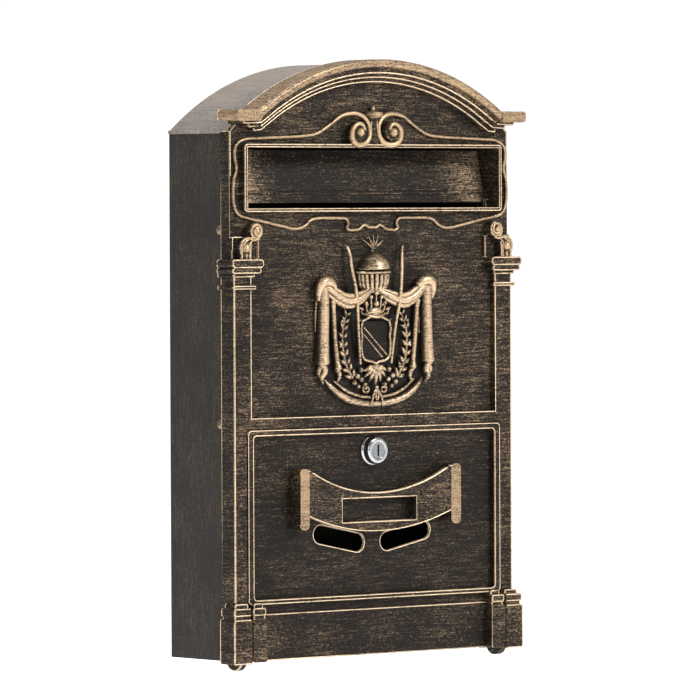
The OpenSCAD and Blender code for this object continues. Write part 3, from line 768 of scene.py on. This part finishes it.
CHROME = worn_metal("lock_chrome", (0.56, 0.57, 0.58, 1), (0.40, 0.41, 0.42, 1), (0.10, 0.20), 120)
FACE_METAL = worn_metal("lock_face", (0.36, 0.365, 0.37, 1), (0.17, 0.175, 0.18, 1),
                        (0.36, 0.54), 1500)
finish_node("lock_barrel", "door", "lock_chrome", 0.0004, CHROME)
finish_node("lock_washer", "door", "zinc_steel", 0.0001, ZINC)
finish_node("lock_nut", "door", "zinc_steel", 0.0003, ZINC)
finish_node("lock_plug", "lock", "lock_face", 0.0002, FACE_METAL)
finish_node("lock_cam", "lock", "zinc_steel", 0.0002, ZINC)
pins = [bead([(0.1, LOCK_H + rise, 5.6, 0.34), (0.75, LOCK_H + rise, 5.6, 0.34)])
        for rise in (-1.1, 0.9)]
joined("keyway_pins", pins, "lock", "lock_chrome", CHROME)

# ------------------------------------------------------------------ crest
# A separate high relief of our own: a lidded urn above a coronet and a plain shield, laurel
# on both sides, and a mantle that hangs in rolls and swags. It is gilded over black.

CREST_GILT = brushed_paint("crest_gilt", 0.52, facing_load=(-0.42, 0.02),
                           proud=(0.0685, 0.0740, 0.26),
                           under=(0.026, 0.018, 0.011, 1), middle=(0.17, 0.112, 0.063, 1),
                           top=(0.64, 0.465, 0.295, 1), gloss=(0.30, 0.44), specular=0.5,
                           metal=0.7, bump=0.6)
# Painted shadow: the thin ground plate behind the relief is painted darker than the field, as the
# shade behind and between the gilded parts. The raised shield takes the same black paint as its own
# colour.
CREST_BLACK_AND_SHADOW = brushed_paint("crest_black_and_painted_shadow", 0.14, top=(0.30, 0.20, 0.11, 1))


def plate(outline, low, high, edge):
    """A flat raised shape with soft edges, between two distances out from the field."""
    mesh = bpy.data.meshes.new("plate")
    mesh.from_pydata([at(x, h, low) for x, h in outline], [], [range(len(outline))])
    piece = new_piece("plate", mesh)
    bpy.ops.object.mode_set(mode="EDIT")
    bpy.ops.mesh.select_all(action="SELECT")
    bpy.ops.mesh.extrude_region_move(
        TRANSFORM_OT_translate={"value": (0, (low - high) / 1000, 0)})
    bpy.ops.mesh.select_all(action="SELECT")
    bpy.ops.mesh.normals_make_consistent(inside=False)
    bpy.ops.object.mode_set(mode="OBJECT")
    soft = piece.modifiers.new("soft", "BEVEL")
    soft.width = edge / 1000
    soft.segments = 3
    soft.limit_method = "ANGLE"
    soft.angle_limit = math.radians(50)
    bpy.ops.object.modifier_apply(modifier=soft.name)
    return piece


def leaf(x, h, out, angle, length, wide):
    """A pointed leaf that grows from a place at an angle."""
    across, rise = math.cos(math.radians(angle)), math.sin(math.radians(angle))
    return [(x, h, out, 0.3), (x + across * length * 0.4, h + rise * length * 0.4, out + 0.6, wide),
            (x + across * length * 0.75, h + rise * length * 0.75, out + 0.4, wide * 0.7),
            (x + across * length, h + rise * length, out, 0.15)]


gilt = []
# mantle: knot, swag and the roll that hangs from it
gilt += both([(50.4, 247, 3.6, 1.6), (51, 253.5, 4.6, 2.9), (48, 259.4, 5.4, 3.9),
              (42.4, 259.6, 5.2, 3.8), (37, 256, 4.4, 2.6)])
for rise, out, thick in ((3.4, 4.6, 2.3), (0, 5.4, 2.9), (-3.4, 4.2, 2.3)):
    gilt += both([(44.5, 257 + rise, out - 1, thick * 0.8), (34, 249.6 + rise, out, thick),
                  (25, 246.4 + rise, out + 0.4, thick), (13, 249 + rise * 0.8, out, thick * 0.9),
                  (2, 254.6 + rise * 0.3, out - 1.6, thick * 0.5)])
gilt += both([(46, 256, 3.4, 3.8), (46, 245, 3.6, 4.1), (46.6, 222, 3.6, 4.3), (47, 209, 3.6, 4.7),
              (47.2, 205.4, 3.6, 5.2), (47.2, 203.8, 3.6, 4.4)], along=8)
gilt += both([(49, 205, 4, 2.6), (45.6, 199.6, 4, 2.7), (47.8, 194.6, 3.4, 1.9),
              (45.6, 190.6, 2.6, 0.6)])
gilt += both([(46, 204, 3, 2.6), (50, 199.4, 3, 1.9), (49, 195, 2.6, 0.7)])
gilt += both([(50, 250, 1.4, 1.2), (51.2, 238, 1.4, 1.0), (51.4, 226, 1.4, 0.5)])
# inner roll and its cord
gilt += both([(38.2, 249, 3.2, 1.4), (38, 246, 3.6, 2.5), (37.4, 241, 3.6, 1.9),
              (36, 222, 3.4, 1.8), (34, 205, 3.4, 2.1), (33.6, 201.4, 3.6, 3.0),
              (33.4, 199.8, 3.6, 2.4)], along=8)
gilt += both([(34.4, 201, 3, 2.2), (31.6, 196.6, 3, 1.8), (33.6, 191, 2.6, 0.6)])
gilt += both([(40.4, 245, 1.6, 0.5), (41.2, 234, 1.6, 0.7), (41.4, 224, 1.4, 0.9)])
# staffs
gilt += both([(26.4, 284.6, 2.2, 0.5), (24.6, 282.4, 3.4, 1.5), (22.4, 268, 5.6, 1.5),
              (19.6, 250, 7.4, 1.4), (16.6, 228, 5.4, 1.15), (13.8, 203.6, 4.2, 1.05)])
# urn with its lid
FLUTES = 9
for i in range(FLUTES):
    turn = (i - (FLUTES - 1) / 2) / ((FLUTES - 1) / 2)
    spread, depth = math.sin(turn * 1.35), math.cos(turn * 1.35)
    gilt.append(bead([(9.4 * spread, 253, 1 + 3.2 * depth, 1.3),
                      (12.4 * spread, 258, 1 + 4.2 * depth, 1.7),
                      (13.4 * spread, 264.4, 1 + 4.4 * depth, 1.6)]))
for reach, height, depth, thick in ((15.4, 265.6, 5.2, 1.15), (13.0, 268, 4.6, 1.0),
                                    (9.6, 252.6, 3.6, 1.0)):
    gilt.append(bead([(reach * math.sin(a * math.pi / 8),
                       height, 0.6 + depth * math.cos(a * math.pi / 8), thick)
                      for a in range(-4, 5)]))
LID_H = 268
LID = [(12.6, 0), (12, 3), (10, 6.4), (6.6, 9.4), (3, 11.2), (1.6, 11.8), (1.3, 13.4),
       (1.9, 14.4), (1.3, 15.6), (0, 16)]
gilt.append(turned(LID, (0, LID_H, 0.4), (0, 0, 1), steps=40))
# plume of slender leaves above the lid
for angle, length in ((35, 12), (64, 10.6), (90, 10), (116, 10.6), (145, 12)):
    gilt.append(bead(leaf(0, 281.4, 1.8, angle, length, 0.9)))
# coronet
gilt += [bead([(-9.4, 237.4, 2.4, 1), (-5, 236, 4.6, 1.1), (0, 235.4, 5.4, 1.2), (5, 236, 4.6, 1.1),
               (9.4, 237.4, 2.4, 1)]),
         bead([(-6.4, 238.2, 2.6, 1.8), (-2.6, 239.4, 3.4, 2.8), (2.6, 239.4, 3.4, 2.8),
               (6.4, 238.2, 2.6, 1.8)])]
for x, h, out, r in ((0, 251.6, 5, 1.9), (4.6, 248.8, 4.8, 1.6), (8.6, 245, 4.2, 1.4),
                     (12, 240.6, 3.4, 1.2)):
    for side in ((-1, 1) if x else (1,)):
        gilt.append(ball(side * x, h, out, r))
        gilt.append(bead([(side * x * 0.8, 238, out - 1, 0.7), (side * x * 0.94, h - 3, out, 0.7),
                          (side * x, h - 1, out, 0.5)]))
gilt.append(ball(0, 244.4, 4.8, 2.2))
gilt += both(leaf(9, 240, 3, 20, 6.5, 1.1)) + both(leaf(6, 242, 3, 60, 5, 1.0))
# shield with a raised border and one slanting band
SHIELD = [(-12, 232.6), (12, 232.6), (12.4, 222), (12.2, 209), (8, 205.8), (2.6, 205), (0, 203.8),
          (-2.6, 205), (-8, 205.8), (-12.2, 209), (-12.4, 222)]
gilt.append(bead([(x, h, 4.4) for x, h in SHIELD], 1.0, closed=True, along=2))
gilt += [bead([(-10.6, 229, 3.6, 0.6), (0, 219, 3.8, 0.6), (10.6, 209.4, 3.6, 0.6)]),
         bead([(-10.6, 224, 3.6, 0.6), (-1.6, 215.4, 3.8, 0.6), (6.4, 208, 3.6, 0.6)])]
gilt += both([(12.6, 232.8, 3.6, 0.9), (14.4, 233.6, 3.2, 0.7)])
# laurel: a stem on each side with pairs of leaves and a few berries
PAIRS = 9
stem = [(20, 194, 2.6, 1.3), (25.6, 203, 3, 1.3), (28.6, 215, 3, 1.1), (28.4, 227, 2.8, 0.9),
        (25, 236.6, 2.4, 0.5)]
gilt += both(stem)
for i in range(PAIRS):
    along = i / (PAIRS - 1) * (len(stem) - 1)
    stretch = min(int(along), len(stem) - 2)
    low, high = stem[stretch], stem[stretch + 1]
    x, h, out = (low[k] + (high[k] - low[k]) * (along - stretch) for k in range(3))
    lean = math.degrees(math.atan2(high[1] - low[1], high[0] - low[0]))
    for side in (-1, 1):
        gilt += both(leaf(x, h, out, lean + side * 42, 7.4 - i * 0.28, 1.75 - i * 0.07))
    if i % 3 == 1:
        for side in (-1, 1):
            gilt.append(ball(side * (x + 2.6), h + 1, out + 0.6, 1.3))
# acanthus below the shield
for angle, length in ((-90, 15), (-66, 13), (-114, 13), (-42, 13), (-138, 13), (-22, 12),
                      (-158, 12)):
    gilt.append(bead(leaf(0, 203, 3.2, angle, length, 2.1)))
for x, h, r in ((12.6, 199.6, 2.0), (15.8, 195.4, 2.3), (12, 193, 2.0), (18.4, 191, 2.1),
                (14.8, 188.4, 1.8), (9, 189.6, 1.7)):
    for side in (-1, 1):
        gilt.append(ball(side * x, h, 3.0, r))
gilt += both(scroll(7.6, 186.4, 2.6, 3.6, 1.0, 100, 1.3, -1, rise=1, thick=0.9))
# band along the foot of the mantle, tied in the middle
gilt += [bead([(-43.6, 193.4, 1.4, 0.8), (-39, 188.6, 2.4, 2.0), (-28, 181.4, 2.8, 2.7),
               (-14, 177.4, 2.8, 2.6), (0, 176.4, 2.8, 2.3), (14, 177.4, 2.8, 2.6),
               (28, 181.4, 2.8, 2.7), (39, 188.6, 2.4, 2.0), (43.6, 193.4, 1.4, 0.8)], along=8),
         bead([(-36, 192.6, 2, 0.7), (-26, 186, 2.6, 1.3), (-13, 181.8, 2.8, 1.3),
               (0, 180.8, 2.8, 1.2), (13, 181.8, 2.8, 1.3), (26, 186, 2.6, 1.3),
               (36, 192.6, 2, 0.7)], along=8)]
gilt += both([(0, 187.4, 4.6, 0.8), (2.8, 183.4, 5.4, 0.8), (4.8, 178, 5.4, 0.9),
              (5.4, 175.2, 4.4, 0.9)])
gilt += both([(0, 187, 4.8, 1.2), (1.2, 183, 5.4, 0.8), (0.4, 179, 5.4, 0.8)])
gilt.append(ball(0, 187.6, 4.8, 1.7))
crest = joined("crest_relief", gilt, "box", "gilt_relief", CREST_GILT)
# The ground plate along the outline of the mantle is painted dark as the shadow behind the relief;
# the shield plate on it is plain black.
GROUND = [(-44, 262), (-51.4, 256), (-51.4, 203), (-47, 190), (-36, 182), (-20, 175.6), (0, 174.2),
          (20, 175.6), (36, 182), (47, 190), (51.4, 203), (51.4, 256), (44, 262), (28, 251),
          (14, 262), (0, 266), (-14, 262), (-28, 251)]
ground = joined("crest_ground", [plate(GROUND, 0, 0.9, 0.4), plate(SHIELD, 0, 3.4, 0.5)], "box",
                "gilt_relief", CREST_BLACK_AND_SHADOW)
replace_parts(crest, "crest")
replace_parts(ground, "crest")
